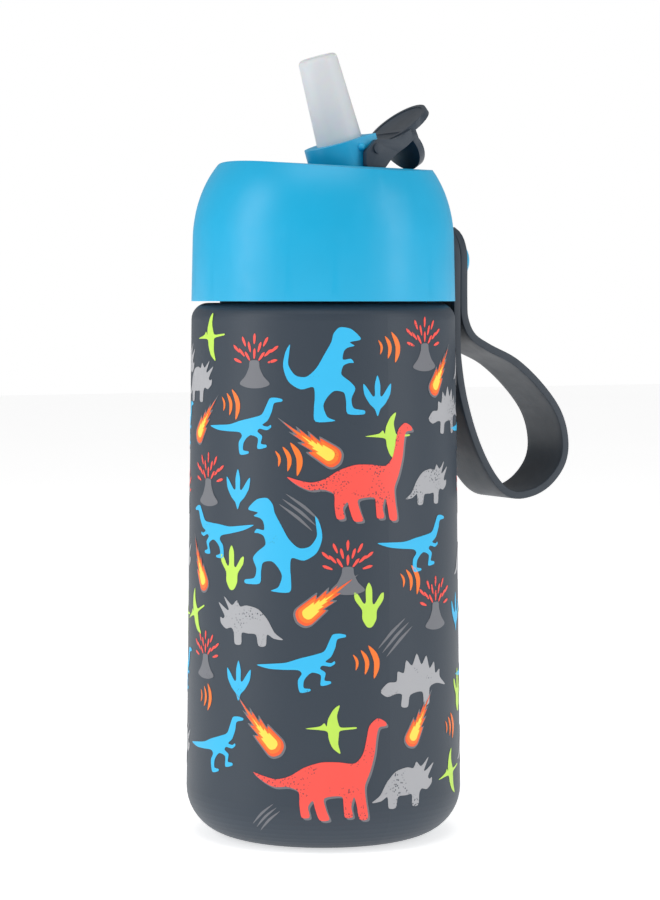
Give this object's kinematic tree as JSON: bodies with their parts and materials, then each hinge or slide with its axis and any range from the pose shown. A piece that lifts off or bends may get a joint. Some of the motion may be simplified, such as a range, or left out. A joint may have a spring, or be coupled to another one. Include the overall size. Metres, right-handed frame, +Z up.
{
  "type": "kids water bottle",
  "caption": "Double-wall steel kids bottle with a screw lid, a flip-up straw spout, a hinged spout cover with a thumb tab, and a swivelling carry strap.",
  "frame": {"origin": "centre of the base on the ground it stands on", "axes": "+Z up along the bottle's axis, -Y towards the drinking side, +Y towards the strap, +X along the flip hinges"},
  "size_m": [0.07, 0.1038, 0.1978],
  "materials": {
    "powder_coat": "matte slate powder coat with a printed pattern",
    "bare_steel": "brushed stainless steel",
    "plug_resin": "matte sealing resin",
    "getter_metal": "sintered metal",
    "clear_silicone": "milky silicone",
    "blue_plastic": "satin cyan-blue plastic",
    "straw_plastic": "frosted plastic",
    "mouth_silicone": "translucent white silicone",
    "slate_plastic": "satin slate plastic",
    "slate_silicone": "matte slate silicone"
  },
  "bodies": {
    "bottle": {"outer_shell": "powder_coat", "inner_flask": "bare_steel", "base_plate": "bare_steel", "vacuum_plug": "plug_resin", "getter": "getter_metal"},
    "lid_ring": {"lid_gasket": "clear_silicone"},
    "lid": {"lid_shell": "blue_plastic", "lid_core": "blue_plastic", "spout_seal": "clear_silicone", "spout_pins": "bare_steel", "vent_valve": "clear_silicone", "straw": "straw_plastic", "strap_button": "blue_plastic", "button_clip": "bare_steel"},
    "spout": {"spout_carrier": "blue_plastic", "mouthpiece": "mouth_silicone", "mouthpiece_barb": "straw_plastic"},
    "cover": {"spout_cover": "slate_plastic"},
    "strap": {"strap": "slate_silicone"}
  },
  "joints": [
    {"name": "lid_lift", "type": "slide", "parent": "bottle", "child": "lid_ring", "axis": [0, 0, 1], "range_m": [0, 0.0063]},
    {"name": "lid_turn", "type": "hinge", "parent": "lid_ring", "child": "lid", "pos_m": [0, 0, 0.1351], "axis": [0, 0, 1], "range_deg": [0, 450]},
    {"name": "spout_flip", "type": "hinge", "parent": "lid", "child": "spout", "pos_m": [0, 0.0095, 0.1645], "axis": [1, 0, 0], "range_deg": [0, 77]},
    {"name": "cover_flip", "type": "hinge", "parent": "spout", "child": "cover", "pos_m": [0, 0.0102, 0.17339], "axis": [1, 0, 0], "range_deg": [0, 66]},
    {"name": "strap_swivel", "type": "hinge", "parent": "lid", "child": "strap", "pos_m": [0, 0.0357, 0.1455], "axis": [0, 1, 0], "continuous": true}
  ],
  "couplings": [
    {"joint": "lid_lift", "follows": "lid_turn", "m_per_rad": 0.00079577}
  ]
}
